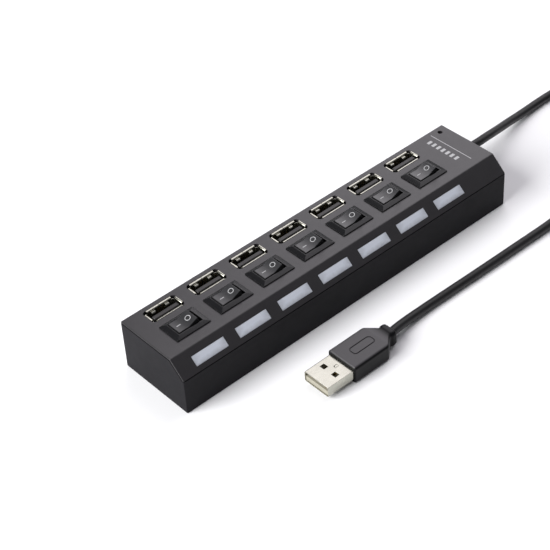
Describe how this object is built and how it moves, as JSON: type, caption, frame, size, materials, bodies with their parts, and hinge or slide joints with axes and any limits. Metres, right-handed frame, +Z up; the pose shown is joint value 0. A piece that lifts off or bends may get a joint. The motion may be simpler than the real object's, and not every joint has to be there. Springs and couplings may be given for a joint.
{
  "type": "usb hub",
  "caption": "Long black USB hub with a row of upward-facing USB-A ports, a rocker switch and a pale indicator window beside each, and a short cable ending in a USB-A plug.",
  "frame": {"origin": "centre of the case's underside, on the surface it stands on", "axes": "+X along the case to the end that the cable leaves; -Y to the bevelled edge with the windows; +Z up"},
  "size_m": [0.2722, 0.0658, 0.0243],
  "materials": {
    "lid_black": "satin with a fine grain",
    "tray_black": "fine matte texture",
    "switch_black": "satin",
    "rocker_black": "satin with pale printed marks",
    "port_steel": "nickel plated sheet",
    "insulator_black": "satin",
    "window_milky": "milky, translucent",
    "board_green": "solder mask",
    "chip_black": "moulded",
    "can_steel": "satin",
    "led_clear": "clear resin",
    "screw_steel": "zinc plated",
    "cable_rubber": "satin jacket",
    "strap_black": "matte",
    "grip_black": "fine matte texture",
    "plug_cream": "satin"
  },
  "bodies": {
    "hub": {"top_lid": "lid_black", "case_body": "tray_black", "main_board": "board_green", "hub_chip_1": "chip_black", "hub_chip_2": "chip_black", "crystal": "can_steel", "capacitor": "chip_black", "power_led": "led_clear", "screw_left": "screw_steel", "screw_right": "screw_steel", "cable_grommet": "cable_rubber", "cable_from_hub": "cable_rubber", "cable_coil": "cable_rubber", "cable_to_plug": "cable_rubber", "cable_tie": "strap_black", "plug_overmould": "grip_black", "plug_shell": "port_steel", "plug_tongue": "plug_cream", "port_shell_1": "port_steel", "port_tongue_1": "insulator_black", "switch_housing_1": "switch_black", "light_window_1": "window_milky", "led_1": "led_clear", "port_shell_2": "port_steel", "port_tongue_2": "insulator_black", "switch_housing_2": "switch_black", "light_window_2": "window_milky", "led_2": "led_clear", "port_shell_3": "port_steel", "port_tongue_3": "insulator_black", "switch_housing_3": "switch_black", "light_window_3": "window_milky", "led_3": "led_clear", "port_shell_4": "port_steel", "port_tongue_4": "insulator_black", "switch_housing_4": "switch_black", "light_window_4": "window_milky", "led_4": "led_clear", "port_shell_5": "port_steel", "port_tongue_5": "insulator_black", "switch_housing_5": "switch_black", "light_window_5": "window_milky", "led_5": "led_clear", "port_shell_6": "port_steel", "port_tongue_6": "insulator_black", "switch_housing_6": "switch_black", "light_window_6": "window_milky", "led_6": "led_clear", "port_shell_7": "port_steel", "port_tongue_7": "insulator_black", "switch_housing_7": "switch_black", "light_window_7": "window_milky", "led_7": "led_clear"},
    "key_1": {"rocker_1": "rocker_black"},
    "key_2": {"rocker_2": "rocker_black"},
    "key_3": {"rocker_3": "rocker_black"},
    "key_4": {"rocker_4": "rocker_black"},
    "key_5": {"rocker_5": "rocker_black"},
    "key_6": {"rocker_6": "rocker_black"},
    "key_7": {"rocker_7": "rocker_black"}
  },
  "joints": [
    {"name": "switch_1", "type": "hinge", "parent": "hub", "child": "key_1", "pos_m": [-0.0653, -0.0005, 0.01967], "axis": [0, 1, 0], "range_deg": [0, 24]},
    {"name": "switch_2", "type": "hinge", "parent": "hub", "child": "key_2", "pos_m": [-0.0457, -0.0005, 0.01967], "axis": [0, 1, 0], "range_deg": [0, 24]},
    {"name": "switch_3", "type": "hinge", "parent": "hub", "child": "key_3", "pos_m": [-0.0261, -0.0005, 0.01967], "axis": [0, 1, 0], "range_deg": [0, 24]},
    {"name": "switch_4", "type": "hinge", "parent": "hub", "child": "key_4", "pos_m": [-0.0065, -0.0005, 0.01967], "axis": [0, 1, 0], "range_deg": [0, 24]},
    {"name": "switch_5", "type": "hinge", "parent": "hub", "child": "key_5", "pos_m": [0.0131, -0.0005, 0.01967], "axis": [0, 1, 0], "range_deg": [0, 24]},
    {"name": "switch_6", "type": "hinge", "parent": "hub", "child": "key_6", "pos_m": [0.0327, -0.0005, 0.01967], "axis": [0, 1, 0], "range_deg": [0, 24]},
    {"name": "switch_7", "type": "hinge", "parent": "hub", "child": "key_7", "pos_m": [0.0523, -0.0005, 0.01967], "axis": [0, 1, 0], "range_deg": [0, 24]}
  ]
}
